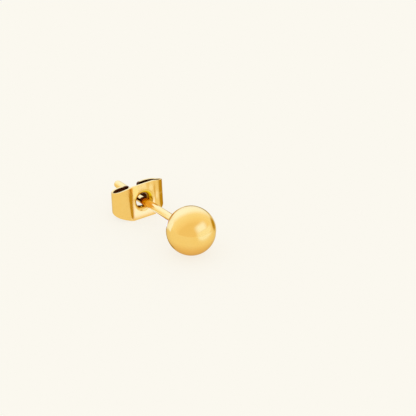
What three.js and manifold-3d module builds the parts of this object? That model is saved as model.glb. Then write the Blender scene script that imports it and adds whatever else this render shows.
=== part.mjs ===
// Ball stud earring with a butterfly clutch on its post, lying on a surface. Millimetres, +Z up.
// The ball faces -Y, the post runs toward +Y and dips a little, and X is the clutch's width.
// The origin is on the surface, below the middle of the earring's length.
import * as THREE from "three";
import { mergeVertices } from "three/addons/utils/BufferGeometryUtils.js";
import Module from "manifold-3d";

// Ball and post. Lengths along the post are measured from the ball's centre.
const BALL_R = 2.5;
const POST_R = 0.4;
const POST_TIP = 13.9;
const TIP_ROUND_R = 0.36;
const SOLDER_R = 0.16;
const ROUND_STEPS = 48;

// Clutch: one strip of thin sheet, folded the same way on both sides of a plate.
const PLATE_AT = 8.6;
const SHEET = 0.22;
const PLATE_HALF_HEIGHT = 1.9;
const LOOP_HALF_HEIGHT = 1.05;
const TAPER_END = 3.94;
const HOLE_R = 0.71;
const DISH_R = 1.2;
const DISH_DEPTH = 0.26;
const COLLAR_WALL = 0.18;
const COLLAR_FRONT = 0.3;
const COLLAR_BACK = 0.62;
const HEIGHT_STEPS = 16;

// Folds of one half of the strip, from the plate's middle outward, along the middle of the sheet.
const PLATE = { length: 1.25, turn: 0, steps: 10 };
const CREASE = { length: 0.11, turn: 15, steps: 2 };
const SIDE_PANEL = { length: 1.1, turn: 19, steps: 4 };
const OUTER_BEND = { length: 2.0, turn: 122, steps: 12 };
const RETURN_LEG = { length: 1.37, turn: 38, steps: 5 };
const END_CURL = { length: 0.42, turn: 46, steps: 4 };
const FOLDS = [PLATE, CREASE, SIDE_PANEL, OUTER_BEND, RETURN_LEG, END_CURL];

const GOLD = 0xe9bd66;

const wasm = await Module();
wasm.setup();

function solid(geometry) {
  const bare = geometry.clone();
  bare.deleteAttribute("normal");
  bare.deleteAttribute("uv");
  const merged = mergeVertices(bare, 1e-4);
  return new wasm.Manifold(
    new wasm.Mesh({
      numProp: 3,
      vertProperties: merged.attributes.position.array,
      triVerts: new Uint32Array(merged.index.array),
    }),
  );
}

function geometryOf(manifold) {
  const mesh = manifold.getMesh();
  const geometry = new THREE.BufferGeometry();
  geometry.setAttribute("position", new THREE.BufferAttribute(mesh.vertProperties, 3));
  geometry.setIndex(new THREE.BufferAttribute(mesh.triVerts, 1));
  geometry.computeVertexNormals();
  return geometry;
}

// Points of an arc in the profile's plane; angles in radians from the radius axis.
function arc(r0, along0, radius, from, to, steps) {
  return Array.from({ length: steps + 1 }, (_, i) => {
    const a = from + ((to - from) * i) / steps;
    return new THREE.Vector2(Math.max(r0 + radius * Math.cos(a), 0), along0 + radius * Math.sin(a));
  });
}

// The ball and the post soldered to it, turned round the post's axis (local Y).
function studGeometry() {
  const filletR = POST_R + SOLDER_R;
  const filletAt = Math.sqrt((BALL_R + SOLDER_R) ** 2 - filletR ** 2);
  const meet = Math.atan2(filletAt, filletR);
  const tipFlat = POST_R - TIP_ROUND_R;
  const profile = [
    ...arc(0, 0, BALL_R, -Math.PI / 2, meet, 24),
    ...arc(filletR, filletAt, SOLDER_R, meet + Math.PI, Math.PI, 3).slice(1),
    ...arc(tipFlat, POST_TIP - TIP_ROUND_R, TIP_ROUND_R, 0, Math.PI / 2, 5),
    new THREE.Vector2(0, POST_TIP),
  ];
  return new THREE.LatheGeometry(profile, ROUND_STEPS);
}

// Stations along one half of the strip: distance s, position in plan and heading.
function stripStations() {
  const stations = [{ s: 0, x: 0, y: SHEET / 2, heading: 0 }];
  for (const fold of FOLDS) {
    const step = fold.length / fold.steps;
    const turn = THREE.MathUtils.degToRad(fold.turn) / fold.steps;
    for (let i = 0; i < fold.steps; i++) {
      const last = stations[stations.length - 1];
      const middle = last.heading + turn / 2;
      stations.push({
        s: last.s + step,
        x: last.x + step * Math.cos(middle),
        y: last.y + step * Math.sin(middle),
        heading: last.heading + turn,
      });
    }
  }
  return stations;
}

// The strip is tall across the plate and narrows toward the loops.
function halfHeight(s) {
  const t = THREE.MathUtils.clamp((s - PLATE.length) / (TAPER_END - PLATE.length), 0, 1);
  const drop = THREE.MathUtils.lerp(t, THREE.MathUtils.smoothstep(t, 0, 1), 0.3);
  return THREE.MathUtils.lerp(PLATE_HALF_HEIGHT, LOOP_HALF_HEIGHT, drop);
}

// How far the plate is pressed back into the funnel round its hole, which steepens toward the hole.
function dish(x, z) {
  const t = THREE.MathUtils.clamp((DISH_R - Math.hypot(x, z)) / (DISH_R - HOLE_R), 0, 1);
  return DISH_DEPTH * t ** 1.5;
}

// The short collar that the hole's edge is drawn into behind the plate, solid until it is punched.
function collarGeometry() {
  const profile = [
    new THREE.Vector2(0, COLLAR_FRONT),
    new THREE.Vector2(HOLE_R + COLLAR_WALL, COLLAR_FRONT),
    new THREE.Vector2(HOLE_R + COLLAR_WALL, COLLAR_BACK),
    new THREE.Vector2(0, COLLAR_BACK),
  ];
  return new THREE.LatheGeometry(profile, 32);
}

// The flat blank is a box, one unit per station, bent along the stations; then the hole is cut.
function clutchGeometry() {
  const stations = stripStations();
  const half = stations.length - 1;
  const blank = new THREE.BoxGeometry(2 * half, SHEET, 2, 2 * half, 1, HEIGHT_STEPS);
  const position = blank.attributes.position;
  for (let i = 0; i < position.count; i++) {
    const column = Math.round(position.getX(i));
    const side = column < 0 ? -1 : 1;
    const at = stations[Math.abs(column)];
    const off = position.getY(i);
    const z = position.getZ(i) * halfHeight(at.s);
    const x = at.x - off * Math.sin(at.heading);
    const pressed = at.s <= PLATE.length ? dish(x, z) : 0;
    position.setXYZ(i, side * x, at.y + off * Math.cos(at.heading) + pressed, z);
  }
  const punch = new THREE.CylinderGeometry(HOLE_R, HOLE_R, 2, 32);
  return geometryOf(solid(blank).add(solid(collarGeometry())).subtract(solid(punch)));
}

function gold(roughness) {
  return new THREE.MeshStandardMaterial({ color: GOLD, roughness, metalness: 1 });
}

const ballStud = new THREE.Mesh(studGeometry(), gold(0.16));
ballStud.name = "ball_stud";

const clutch = new THREE.Mesh(clutchGeometry(), gold(0.24));
clutch.name = "butterfly_clutch";
clutch.position.y = PLATE_AT;

// The ball touches the surface and so does the plate's rear bottom edge, which sets the dip.
const edgeAt = PLATE_AT + SHEET;
const edgeReach = Math.hypot(edgeAt, PLATE_HALF_HEIGHT);
const dip = Math.asin(BALL_R / edgeReach) - Math.atan2(PLATE_HALF_HEIGHT, edgeAt);

const lying = new THREE.Group();
lying.add(ballStud, clutch);
lying.position.z = BALL_R;
lying.rotation.x = -dip;

const earring = new THREE.Group();
earring.add(lying);
const box = new THREE.Box3().setFromObject(earring, true);
lying.position.y = -(box.min.y + box.max.y) / 2;
lying.position.z -= box.min.z;

export default earring;
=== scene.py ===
import math

import bmesh
import bpy
from mathutils import Matrix, Vector

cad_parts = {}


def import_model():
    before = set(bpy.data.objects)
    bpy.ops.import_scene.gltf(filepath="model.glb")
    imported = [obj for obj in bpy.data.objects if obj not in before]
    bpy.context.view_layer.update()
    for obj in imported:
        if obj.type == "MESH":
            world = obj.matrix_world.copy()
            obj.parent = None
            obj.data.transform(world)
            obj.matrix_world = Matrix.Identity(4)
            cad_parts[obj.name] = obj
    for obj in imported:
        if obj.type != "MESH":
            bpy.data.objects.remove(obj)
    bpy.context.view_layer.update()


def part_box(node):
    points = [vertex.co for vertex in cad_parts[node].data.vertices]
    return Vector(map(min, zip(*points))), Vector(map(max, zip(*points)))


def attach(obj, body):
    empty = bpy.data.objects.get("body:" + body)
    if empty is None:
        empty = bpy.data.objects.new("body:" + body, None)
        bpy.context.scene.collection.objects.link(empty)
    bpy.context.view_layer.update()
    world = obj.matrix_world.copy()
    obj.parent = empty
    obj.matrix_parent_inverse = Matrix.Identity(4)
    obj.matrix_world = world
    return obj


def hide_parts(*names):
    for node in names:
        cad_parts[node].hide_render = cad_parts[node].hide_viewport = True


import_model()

MM = 0.001

# Ball and post, along the post from the ball's centre.
BALL_R = 2.5
POST_R = 0.4
POST_TIP = 13.9
TIP_ROUND_R = 0.36
SOLDER_R = 0.16
ROUND_STEPS = 160
BALL_STEPS = 96
SOLDER_STEPS = 8
SHANK_STEPS = 40
TIP_STEPS = 10

# Clutch: one strip of thin sheet. SIDE_FOLDS run outward from the plate's side edge, and each has its
# length, its turn in degrees and its steps.
PLATE_AT = 8.6
SHEET = 0.22
PLATE_HALF_HEIGHT = 1.9
LOOP_HALF_HEIGHT = 1.05
TAPER_END = 3.94
PLATE_HALF = 1.25
HOLE_R = 0.71
DISH_R = 1.2
DISH_DEPTH = 0.4
COLLAR_BACK = 0.62
ROWS = 40
COLUMNS = 28
DISH_RINGS = 18
COLLAR_RINGS = 4
PLATE_RINGS = 6
SIDE_FOLDS = [(0.36, 15, 16), (0.85, 19, 12), (2.0, 122, 48), (1.37, 38, 20), (0.42, 46, 12)]
SHEET_ROUND = 0.035

# How much painted shade browns the funnel, from SHADE_R inward: on its wall, more above the hole, and in its
# collar.
SHADE_R = 1.3
WALL_SHADE = 0.62
WALL_LEVEL = 0.6
WALL_LEAN = 0.4
COLLAR_SHADE = 0.38

# View: the camera's bearing and height round the ball, and its distance.
VIEW_AZIMUTH = math.radians(-34.3)
VIEW_ELEVATION = math.radians(29.5)
VIEW_DISTANCE = 264.0
VIEW_LENS = 230.0
AIM_RIGHT = 1.674
AIM_UP = 2.246

# Gold: its own colour and its deeper patches on the stud and on the sheet, its tint at the edges, and the
# colours of the shade painted into the funnel, at places along its shade.
GOLD = (0.955, 0.642, 0.187)
GOLD_DEEP = (0.95, 0.626, 0.17)
SHEET_GOLD = (0.94, 0.625, 0.182)
SHEET_DEEP = (0.93, 0.605, 0.163)
EDGE_GOLD = (0.8, 0.76, 0.62)
FUNNEL_SHADE_COLOURS = [
    (0.04, (0.93, 0.61, 0.165)),
    (0.26, (0.68, 0.38, 0.0)),
    (0.55, (0.42, 0.19, 0.0)),
    (0.9, (0.07, 0.015, 0.002)),
]
# Painted shade inside the loops and on the curled ends, in two dark browns; then the dull gold of the
# unpolished inner side.
LOOP_SHADE_BROWN = (0.06, 0.014, 0.003)
LOOP_SHADE_REDDISH = (0.12, 0.034, 0.007)
INSIDE_DULL = (0.74, 0.44, 0.1)

# Studio: the pale colour of floor and walls, and how the wall's light grows toward one direction: the
# cosine of the angle to it, and the light.
PALE = (0.965, 0.939, 0.863)
FLOOR_HALF = 2
FLOOR_GLOW = 0.82
GLOW_TOWARD = (0.3, 0.93, 0.2)
GLOW = [
    (-0.3, (0.965, 0.89, 0.78)),
    (-0.1, (1.02, 0.98, 0.96)),
    (0.2, (1.04, 1.06, 1.12)),
    (0.5, (1.06, 1.13, 1.34)),
    (0.62, (1.1, 1.25, 2.0)),
    (0.78, (1.13, 1.46, 3.0)),
    (0.95, (1.17, 1.54, 3.4)),
]

# The window: a large card high in front of the ball, square to the line from it.
BRIGHT = (1.06, 1.31, 2.4)
WINDOW_TOWARD = (0.33, -0.82, 0.52)
WINDOW_DISTANCE = 30
WINDOW_HALF_WIDTH = 24
WINDOW_HALF_HEIGHT = 14.5
WINDOW_EDGE = 0.4

# Cards seen only in the gold: corners in millimetres, light, softness of the edges, round or not.
# The glows brighten what the gold reflects and the shades darken it. The gold ones stand for a second stud
# beside this one.
DARK_GOLD = (0.56, 0.37, 0.02)
CARDS = {
    "front_glow": (
        [(-6, -42, 0.15), (30, -36, 0.15), (18, -8, 0.15), (-1.5, -9.5, 0.15)],
        (1.03, 1.23, 1.9),
        0.25,
        False,
    ),
    "side_glow": (
        [(0.6, -1.8, 0.12), (4.6, -1.8, 0.12), (1.6, 3.0, 0.12), (-2.2, 3.0, 0.12)],
        (1.2, 1.42, 3.0),
        0.25,
        False,
    ),
    "back_glow": (
        [(-8.5, 0.5, 1.0), (-1.3, 0.5, 1.0), (-1.3, 0.5, 6.5), (-8.5, 0.5, 6.5)],
        (1.06, 1.34, 2.5),
        0.2,
        False,
    ),
    "low_glow": (
        [(-3.8, 2.4, -0.6), (1.0, 2.4, -0.6), (1.0, 2.4, 1.2), (-3.8, 2.4, 1.2)],
        (1.06, 1.32, 2.3),
        0.2,
        False,
    ),
    "top_glow": (
        [(3.0, -5.2, 0.12), (5.6, -5.2, 0.12), (5.2, -3.0, 0.12), (2.6, -3.0, 0.12)],
        (1.08, 1.28, 2.0),
        0.3,
        False,
    ),
    "right_glow": (
        [(4.2, -0.8, 0.12), (7.0, -0.8, 0.12), (7.0, 1.8, 0.12), (4.2, 1.8, 0.12)],
        (1.06, 1.2, 1.8),
        0.3,
        False,
    ),
    "plate_glow": (
        [(-0.45, 2.8, 1.7), (-0.45, 1.2, 1.7), (-0.45, 1.2, 3.8), (-0.45, 2.8, 3.8)],
        (1.06, 1.22, 1.5),
        0.15,
        False,
    ),
    "fold_shade": (
        [(-2.6, -5.4, 0.14), (2.4, -5.2, 0.14), (-1.0, 3.0, 0.14), (-1.35, 3.0, 0.14)],
        DARK_GOLD,
        0.12,
        False,
    ),
    "right_fold_shade": (
        [(6.2, -4.4, 0.14), (8.0, -2.9, 0.14), (3.6, 0.7, 0.14), (3.2, 0.3, 0.14)],
        (0.74, 0.55, 0.22),
        0.3,
        False,
    ),
    "far_shade": (
        [(6, 8, 0.1), (16, 0, 0.1), (40, 26, 0.1), (22, 40, 0.1)],
        (0.3, 0.29, 0.18),
        0.2,
        False,
    ),
    "ball_shade": (
        [(-5, -10.7, 0.08), (5, -10.7, 0.08), (5, -0.7, 0.08), (-5, -0.7, 0.08)],
        (0.84, 0.64, 0.45),
        0.4,
        True,
    ),
    "low_wall": (
        [(44, -14, -4), (-12, -44, -4), (-12, -44, 14), (44, -14, 14)],
        (1.03, 1.17, 1.6),
        0.3,
        False,
    ),
    "gold_card": (
        [(6.0, 5.8, 0.0), (6.0, 1.7, 0.0), (6.0, 1.7, 3.6), (6.0, 5.8, 3.6)],
        DARK_GOLD,
        0.1,
        False,
    ),
    "gold_strip": (
        [(2.5, 2.9, 0.13), (6.2, 1.7, 0.13), (6.2, 5.8, 0.13), (2.5, 3.6, 0.13)],
        DARK_GOLD,
        0.1,
        False,
    ),
    "gold_disc": (
        [(7.5, -3.4, -0.2), (7.5, -8.8, -0.2), (7.5, -8.8, 5.2), (7.5, -3.4, 5.2)],
        DARK_GOLD,
        0.3,
        True,
    ),
}


def resting_place():
    """The tilt and shift that lay the earring on the ball and on the plate's rear bottom edge."""
    edge_at = PLATE_AT + SHEET
    reach = math.hypot(edge_at, PLATE_HALF_HEIGHT)
    dip = math.asin(BALL_R / reach) - math.atan2(PLATE_HALF_HEIGHT, edge_at)
    low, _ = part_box("ball_stud")
    centre = Vector((0, low.y + BALL_R * MM, BALL_R * MM))
    return Matrix.Translation(centre) @ Matrix.Rotation(-dip, 4, "X") @ Matrix.Scale(MM, 4)


def finished(name, mesh, materials):
    mesh.transform(resting_place())
    mesh.shade_smooth()
    for material in materials:
        mesh.materials.append(material)
    piece = bpy.data.objects.new(name, mesh)
    bpy.context.scene.collection.objects.link(piece)
    return piece


# ---- Ball and post -------------------------------------------------------------------------------

def arc(r0, along0, radius, start, stop, steps):
    angles = [start + (stop - start) * i / steps for i in range(steps + 1)]
    return [(r0 + radius * math.cos(a), along0 + radius * math.sin(a)) for a in angles]


def stud_profile():
    """Radius and distance along the post, from the ball's front pole to the post's tip."""
    fillet_r = POST_R + SOLDER_R
    fillet_at = math.sqrt((BALL_R + SOLDER_R) ** 2 - fillet_r**2)
    meet = math.atan2(fillet_at, fillet_r)
    ball = arc(0, 0, BALL_R, -math.pi / 2, meet, BALL_STEPS)[1:]
    solder = arc(fillet_r, fillet_at, SOLDER_R, meet + math.pi, math.pi, SOLDER_STEPS)[1:]
    shank_at = solder[-1][1]
    tip_at = POST_TIP - TIP_ROUND_R
    shank = [(POST_R, shank_at + (tip_at - shank_at) * i / SHANK_STEPS) for i in range(1, SHANK_STEPS)]
    tip = arc(POST_R - TIP_ROUND_R, tip_at, TIP_ROUND_R, 0, math.pi / 2, TIP_STEPS)
    return ball + solder + shank + tip


def ball_and_post(material):
    bm = bmesh.new()
    profile = stud_profile()
    rings = []
    for radius, along in profile:
        turns = [2 * math.pi * i / ROUND_STEPS for i in range(ROUND_STEPS)]
        rings.append([bm.verts.new((radius * math.cos(t), along, radius * math.sin(t))) for t in turns])
    for before, after in zip(rings, rings[1:]):
        for i in range(ROUND_STEPS):
            j = (i + 1) % ROUND_STEPS
            bm.faces.new((before[i], after[i], after[j], before[j]))
    front = bm.verts.new((0, -BALL_R, 0))
    back = bm.verts.new((0, POST_TIP, 0))
    for i in range(ROUND_STEPS):
        j = (i + 1) % ROUND_STEPS
        bm.faces.new((front, rings[0][i], rings[0][j]))
        bm.faces.new((back, rings[-1][j], rings[-1][i]))
    bmesh.ops.recalc_face_normals(bm, faces=bm.faces)
    mesh = bpy.data.meshes.new("polished_ball_and_post")
    bm.to_mesh(mesh)
    bm.free()
    return finished("polished_ball_and_post", mesh, [material])


# ---- Butterfly clutch ----------------------------------------------------------------------------

def fold_stations():
    """Distance along the strip, then x and y in plan, from the plate's side edge to the curled end."""
    s, x, y, heading = PLATE_HALF, PLATE_HALF, SHEET / 2, 0.0
    stations = [(s, x, y)]
    for length, turn, steps in SIDE_FOLDS:
        step = length / steps
        swing = math.radians(turn) / steps
        for _ in range(steps):
            x += step * math.cos(heading + swing / 2)
            y += step * math.sin(heading + swing / 2)
            s += step
            heading += swing
            stations.append((s, x, y))
    return stations


def half_height(s):
    t = min(max((s - PLATE_HALF) / (TAPER_END - PLATE_HALF), 0), 1)
    drop = t + 0.3 * (t * t * (3 - 2 * t) - t)
    return PLATE_HALF_HEIGHT + drop * (LOOP_HALF_HEIGHT - PLATE_HALF_HEIGHT)


def funnel_rings():
    """Radius and depth of the sheet's middle, from the back of the hole's collar out to the flat plate."""
    collar_r = HOLE_R + SHEET / 2
    back = COLLAR_BACK - SHEET / 2
    collar = [(collar_r, back + (DISH_DEPTH - back) * i / COLLAR_RINGS) for i in range(COLLAR_RINGS)]
    angles = [math.pi / 2 * (1 - i / DISH_RINGS) for i in range(DISH_RINGS + 1)]
    dish = [(DISH_R - (DISH_R - collar_r) * math.sin(a), DISH_DEPTH * (1 - math.cos(a))) for a in angles]
    return collar + dish


def funnel_shade(x, z, depth):
    """How much painted shade browns the funnel: nothing on the flat plate, most in the collar, less on its
    lower side.
    """
    reach = math.hypot(x, z)
    near = min(max((SHADE_R - reach) / (SHADE_R - HOLE_R - SHEET / 2), 0), 1)
    upper = WALL_LEVEL + WALL_LEAN * z / reach
    return near * upper * WALL_SHADE + min(depth / DISH_DEPTH, 1) ** 3 * COLLAR_SHADE


def plate_outline():
    """Points round the plate's rectangle, counter-clockwise from its lower right corner."""
    rows = [-1 + 2 * i / ROWS for i in range(ROWS)]
    columns = [-1 + 2 * i / COLUMNS for i in range(COLUMNS)]
    w, h = PLATE_HALF, PLATE_HALF_HEIGHT
    right = [(w, h * t) for t in rows]
    top = [(-w * t, h) for t in columns]
    left = [(-w, -h * t) for t in rows]
    bottom = [(w * t, -h) for t in columns]
    return right + top + left + bottom


def add_plate(bm, painted_funnel_shade):
    """Rings of quads from the collar's back end, round the funnel and out to the plate's rectangle."""
    outline = plate_outline()
    funnel = funnel_rings()
    rings = []
    for k in range(len(funnel) + PLATE_RINGS):
        ring = []
        for ox, oz in outline:
            reach = math.hypot(ox, oz)
            if k < len(funnel):
                radius, depth = funnel[k]
            else:
                radius = DISH_R + (reach - DISH_R) * (k - len(funnel) + 1) / PLATE_RINGS
                depth = 0.0
            x, z = ox * radius / reach, oz * radius / reach
            vert = bm.verts.new((x, SHEET / 2 + depth, z))
            # Each vertex carries how much painted shade browns the funnel there.
            vert[painted_funnel_shade] = funnel_shade(x, z, depth)
            ring.append(vert)
        rings.append(ring)
    count = len(outline)
    for inner, outer in zip(rings, rings[1:]):
        for i in range(count):
            j = (i + 1) % count
            bm.faces.new((inner[i], outer[i], outer[j], inner[j]))


def add_side(bm, fold, side):
    """The strip from one side edge of the plate to its curled end."""
    stations = fold_stations()
    total = stations[-1][0] - PLATE_HALF
    columns = []
    for s, x, y in stations:
        column = []
        for i in range(ROWS + 1):
            z = half_height(s) * (-1 + 2 * i / ROWS)
            vert = bm.verts.new((side * x, y, z))
            vert[fold] = (s - PLATE_HALF) / total
            column.append(vert)
        columns.append(column)
    for before, after in zip(columns, columns[1:]):
        for i in range(ROWS):
            corners = [before[i], after[i], after[i + 1], before[i + 1]]
            bm.faces.new(corners if side > 0 else corners[::-1])


def clutch(outside, inside):
    bm = bmesh.new()
    bm.verts.layers.float.new("fold")
    bm.verts.layers.float.new("painted_funnel_shade")
    fold = bm.verts.layers.float["fold"]
    painted_funnel_shade = bm.verts.layers.float["painted_funnel_shade"]
    add_plate(bm, painted_funnel_shade)
    add_side(bm, fold, 1)
    add_side(bm, fold, -1)
    bmesh.ops.remove_doubles(bm, verts=bm.verts, dist=1e-4)
    mesh = bpy.data.meshes.new("folded_clutch")
    bm.to_mesh(mesh)
    bm.free()
    mesh.transform(Matrix.Translation((0, PLATE_AT, 0)))
    piece = finished("folded_clutch", mesh, [outside, inside])
    sheet = piece.modifiers.new("sheet", "SOLIDIFY")
    sheet.thickness = SHEET * MM
    sheet.offset = 0
    sheet.use_even_offset = True
    sheet.material_offset = 1
    sheet.material_offset_rim = 0
    rim = piece.modifiers.new("rim", "BEVEL")
    rim.width = SHEET_ROUND * MM
    rim.segments = 3
    rim.limit_method = "ANGLE"
    rim.angle_limit = math.radians(50)
    rim.harden_normals = True
    return piece


# ---- Gold ----------------------------------------------------------------------------------------

def math_node(tree, operation, first, second=None):
    """A math node on a socket and a socket or number; gives its output."""
    node = tree.nodes.new("ShaderNodeMath")
    node.operation = operation
    for socket, value in zip(node.inputs, (first, second)):
        if isinstance(value, bpy.types.NodeSocket):
            tree.links.new(value, socket)
        elif value is not None:
            socket.default_value = value
    return node.outputs[0]


def noise(tree, scales, detail=2.0):
    """Noise over the piece, with so many cells per millimetre across, along and up."""
    place = tree.nodes.new("ShaderNodeTexCoord")
    stretch = tree.nodes.new("ShaderNodeMapping")
    stretch.inputs["Scale"].default_value = [scale / MM for scale in scales]
    tree.links.new(place.outputs["Object"], stretch.inputs["Vector"])
    texture = tree.nodes.new("ShaderNodeTexNoise")
    texture.inputs["Scale"].default_value = 1
    texture.inputs["Detail"].default_value = detail
    tree.links.new(stretch.outputs["Vector"], texture.inputs["Vector"])
    return texture.outputs["Fac"]


def ramp(tree, value, stops):
    """Colours or greys at places from 0 to 1 along a value."""
    node = tree.nodes.new("ShaderNodeValToRGB")
    elements = node.color_ramp.elements
    while len(elements) < len(stops):
        elements.new(0.5)
    for element, (position, colour) in zip(elements, stops):
        element.position = position
        element.color = (*colour, 1) if isinstance(colour, tuple) else (colour, colour, colour, 1)
    tree.links.new(value, node.inputs["Fac"])
    return node.outputs["Color"]


def painted(tree, factor, under, over):
    """One colour laid over another where the factor is 1."""
    node = tree.nodes.new("ShaderNodeMix")
    node.data_type = "RGBA"
    for name, value in (("Factor", factor), ("A", under), ("B", over)):
        if isinstance(value, bpy.types.NodeSocket):
            tree.links.new(value, node.inputs[name])
        else:
            node.inputs[name].default_value = (*value, 1)
    return node.outputs["Result"]


def bumps(tree, bsdf, layers):
    """Stacks bump layers, each a height and its depth in millimetres, on the shader's normal."""
    normal = None
    for height, depth in layers:
        node = tree.nodes.new("ShaderNodeBump")
        node.inputs["Distance"].default_value = depth * MM
        tree.links.new(height, node.inputs["Height"])
        if normal is not None:
            tree.links.new(normal, node.inputs["Normal"])
        normal = node.outputs["Normal"]
    tree.links.new(normal, bsdf.inputs["Normal"])


def metal(name):
    material = bpy.data.materials.new(name)
    material.use_nodes = True
    bsdf = material.node_tree.nodes["Principled BSDF"]
    bsdf.inputs["Metallic"].default_value = 1.0
    bsdf.inputs["Specular Tint"].default_value = (*EDGE_GOLD, 1)
    return material, material.node_tree, bsdf


def stud_gold():
    """Polished plate with a faint cloudiness and hairline polishing marks."""
    material, tree, bsdf = metal("polished_gold")
    cloud = noise(tree, (0.9, 0.9, 0.9))
    marks = noise(tree, (3.0, 1.2, 34.0), 3.0)
    tree.links.new(ramp(tree, cloud, [(0.3, GOLD), (0.75, GOLD_DEEP)]), bsdf.inputs["Base Color"])
    tree.links.new(ramp(tree, marks, [(0.35, 0.085), (0.75, 0.135)]), bsdf.inputs["Roughness"])
    bumps(tree, bsdf, [(cloud, 0.003), (marks, 0.00012)])
    return material


def attribute(tree, name):
    node = tree.nodes.new("ShaderNodeAttribute")
    node.attribute_name = name
    return node.outputs["Fac"]


def clutch_gold():
    """Stamped sheet, wavy from the die and drawn along its length, with painted shade: browner in the funnel
    and dark at its curled ends.
    """
    material, tree, bsdf = metal("stamped_gold")
    waves = noise(tree, (1.0, 1.0, 0.3), 1.0)
    cloud = noise(tree, (1.6, 1.6, 1.6))
    drawn = noise(tree, (1.5, 1.5, 40.0), 3.0)
    sheet = ramp(tree, cloud, [(0.3, SHEET_GOLD), (0.75, SHEET_DEEP)])
    # Painted shade in the funnel, laid over the sheet's gold from each vertex's shade weight.
    funnel = attribute(tree, "painted_funnel_shade")
    funnel_shade_mask = ramp(tree, funnel, [(0.0, 0.0), (0.1, 1.0)])
    colour = painted(tree, funnel_shade_mask, sheet, ramp(tree, funnel, FUNNEL_SHADE_COLOURS))
    # Painted shade: the curled ends of the strip turn dark red-brown.
    end_shade_mask = ramp(tree, attribute(tree, "fold"), [(0.88, 0.0), (0.93, 1.0)])
    tree.links.new(painted(tree, end_shade_mask, colour, LOOP_SHADE_REDDISH), bsdf.inputs["Base Color"])
    tree.links.new(ramp(tree, drawn, [(0.3, 0.11), (0.75, 0.19)]), bsdf.inputs["Roughness"])
    bumps(tree, bsdf, [(waves, 0.07), (cloud, 0.002), (drawn, 0.0003)])
    return material


def loop_gold():
    """The sheet's unpolished inner side: dull gold behind the plate, and painted shade, dark brown, inside the
    loops.
    """
    material, tree, bsdf = metal("unpolished_inside_and_loop_shade")
    grain = noise(tree, (9.0, 9.0, 9.0), 4.0)
    in_loop = ramp(tree, attribute(tree, "fold"), [(0.0, 0.0), (0.25, 1.0)])
    dull = ramp(tree, grain, [(0.3, SHEET_DEEP), (0.75, INSIDE_DULL)])
    # Painted shade: dark brown inside the loops.
    dark = ramp(tree, grain, [(0.3, LOOP_SHADE_BROWN), (0.75, LOOP_SHADE_REDDISH)])
    tree.links.new(painted(tree, in_loop, dull, dark), bsdf.inputs["Base Color"])
    tree.links.new(ramp(tree, grain, [(0.3, 0.32), (0.75, 0.5)]), bsdf.inputs["Roughness"])
    bumps(tree, bsdf, [(grain, 0.002)])
    return material


# ---- Studio --------------------------------------------------------------------------------------

def flat_mesh(name, corners):
    bm = bmesh.new()
    face = bm.faces.new([bm.verts.new(c) for c in corners])
    layer = bm.loops.layers.uv.new("UVMap")
    for loop, uv in zip(face.loops, [(0, 0), (1, 0), (1, 1), (0, 1)]):
        loop[layer].uv = uv
    mesh = bpy.data.meshes.new(name)
    bm.to_mesh(mesh)
    bm.free()
    return mesh


def floor():
    half = FLOOR_HALF
    mesh = flat_mesh("floor", [(-half, -half, 0), (half, -half, 0), (half, half, 0), (-half, half, 0)])
    material = bpy.data.materials.new("lit_acrylic")
    material.use_nodes = True
    bsdf = material.node_tree.nodes["Principled BSDF"]
    bsdf.inputs["Base Color"].default_value = (*[1 - FLOOR_GLOW] * 3, 1)
    bsdf.inputs["Roughness"].default_value = 0.9
    bsdf.inputs["Specular IOR Level"].default_value = 0.0
    bsdf.inputs["Emission Color"].default_value = (*PALE, 1)
    bsdf.inputs["Emission Strength"].default_value = FLOOR_GLOW
    mesh.materials.append(material)
    plane = bpy.data.objects.new("floor", mesh)
    bpy.context.scene.collection.objects.link(plane)


def soft_mask(tree, edge, is_round):
    """1 in the middle of a card and 0 at its edges or, on a round card, at its rim."""
    nodes, links = tree.nodes, tree.links
    place = nodes.new("ShaderNodeUVMap")
    split = nodes.new("ShaderNodeSeparateXYZ")
    links.new(place.outputs["UV"], split.inputs[0])
    across = math_node(tree, "ABSOLUTE", math_node(tree, "SUBTRACT", split.outputs["X"], 0.5))
    along = math_node(tree, "ABSOLUTE", math_node(tree, "SUBTRACT", split.outputs["Y"], 0.5))
    if is_round:
        across_squared = math_node(tree, "POWER", across, 2)
        along_squared = math_node(tree, "POWER", along, 2)
        distances = [math_node(tree, "SQRT", math_node(tree, "ADD", across_squared, along_squared))]
    else:
        distances = [across, along]
    mask = 1.0
    for distance in distances:
        soft = nodes.new("ShaderNodeMapRange")
        soft.interpolation_type = "SMOOTHSTEP"
        soft.inputs["From Min"].default_value = 0.5
        soft.inputs["From Max"].default_value = 0.5 - edge
        links.new(distance, soft.inputs["Value"])
        mask = math_node(tree, "MULTIPLY", soft.outputs["Result"], mask)
    return mask


def card(name, corners, colour, edge, is_round):
    """A studio card seen only in the gold, lit on the side from which its corners run counter-clockwise."""
    mesh = flat_mesh(name, corners)
    material = bpy.data.materials.new(name)
    material.use_nodes = True
    tree = material.node_tree
    nodes, links = tree.nodes, tree.links
    nodes.remove(nodes["Principled BSDF"])
    side = nodes.new("ShaderNodeNewGeometry")
    front = math_node(tree, "SUBTRACT", 1.0, side.outputs["Backfacing"])
    glow = nodes.new("ShaderNodeEmission")
    glow.inputs["Color"].default_value = (*colour, 1)
    clear = nodes.new("ShaderNodeBsdfTransparent")
    mix = nodes.new("ShaderNodeMixShader")
    links.new(math_node(tree, "MULTIPLY", soft_mask(tree, edge, is_round), front), mix.inputs[0])
    links.new(clear.outputs[0], mix.inputs[1])
    links.new(glow.outputs[0], mix.inputs[2])
    links.new(mix.outputs[0], nodes["Material Output"].inputs["Surface"])
    mesh.materials.append(material)
    panel = bpy.data.objects.new(name, mesh)
    panel.scale = (MM, MM, MM)
    bpy.context.scene.collection.objects.link(panel)
    panel.visible_camera = False
    panel.visible_diffuse = False
    panel.visible_shadow = False


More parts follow.
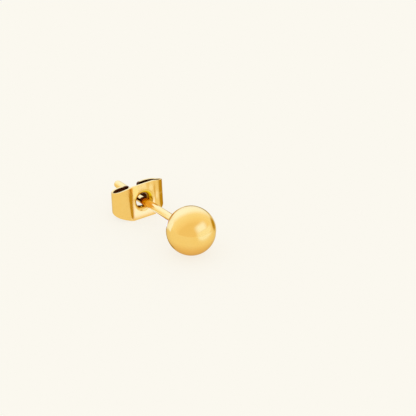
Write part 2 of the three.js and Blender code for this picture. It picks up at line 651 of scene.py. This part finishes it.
def window():
    """Corners of the window, which faces the ball."""
    ball = resting_place().translation / MM
    toward = Vector(WINDOW_TOWARD).normalized()
    right = toward.cross(Vector((0, 0, 1))).normalized()
    up = right.cross(toward)
    middle = ball + WINDOW_DISTANCE * toward
    across, along = WINDOW_HALF_WIDTH * right, WINDOW_HALF_HEIGHT * up
    return [middle - across - along, middle + across - along, middle + across + along, middle - across + along]


def cards():
    card("window", window(), BRIGHT, WINDOW_EDGE, False)
    for name, facts in CARDS.items():
        card(name, *facts)


def world():
    """Plain pale light, with a brighter and cooler glow low behind the earring in what the gold reflects."""
    sky = bpy.data.worlds.new("studio")
    bpy.context.scene.world = sky
    sky.use_nodes = True
    nodes, links = sky.node_tree.nodes, sky.node_tree.links
    place = nodes.new("ShaderNodeTexCoord")
    toward = nodes.new("ShaderNodeVectorMath")
    toward.operation = "DOT_PRODUCT"
    toward.inputs[1].default_value = Vector(GLOW_TOWARD).normalized()
    links.new(place.outputs["Generated"], toward.inputs[0])
    spread = nodes.new("ShaderNodeMapRange")
    spread.inputs["From Min"].default_value = -1
    links.new(toward.outputs["Value"], spread.inputs["Value"])
    stops = [((cosine + 1) / 2, tuple(p * t for p, t in zip(PALE, tint))) for cosine, tint in GLOW]
    glow = ramp(sky.node_tree, spread.outputs["Result"], stops)
    path = nodes.new("ShaderNodeLightPath")
    pick = nodes.new("ShaderNodeMix")
    pick.data_type = "RGBA"
    pick.inputs["A"].default_value = (*PALE, 1)
    links.new(path.outputs["Is Glossy Ray"], pick.inputs["Factor"])
    links.new(glow, pick.inputs["B"])
    links.new(pick.outputs["Result"], nodes["Background"].inputs["Color"])


def camera():
    a, e = VIEW_AZIMUTH, VIEW_ELEVATION
    right = Vector((math.cos(a), math.sin(a), 0))
    back = Vector((math.sin(a) * math.cos(e), -math.cos(a) * math.cos(e), math.sin(e)))
    up = back.cross(right)
    aim = resting_place().translation / MM + AIM_RIGHT * right + AIM_UP * up
    data = bpy.data.cameras.new("camera")
    data.lens = VIEW_LENS
    data.sensor_width = 36
    data.clip_start = 0.01
    data.clip_end = 10
    view = bpy.data.objects.new("camera", data)
    view.matrix_world = Matrix.Translation((aim + back * VIEW_DISTANCE) * MM) @ Matrix(
        (right, up, back)
    ).transposed().to_4x4()
    bpy.context.scene.collection.objects.link(view)
    bpy.context.scene.camera = view


def colours():
    settings = bpy.context.scene.view_settings
    settings.view_transform = "Standard"
    settings.look = "None"


stud = ball_and_post(stud_gold())
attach(stud, "stud")
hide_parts("ball_stud")

back = clutch(clutch_gold(), loop_gold())
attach(back, "clutch")
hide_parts("butterfly_clutch")

floor()
world()
cards()
camera()
colours()
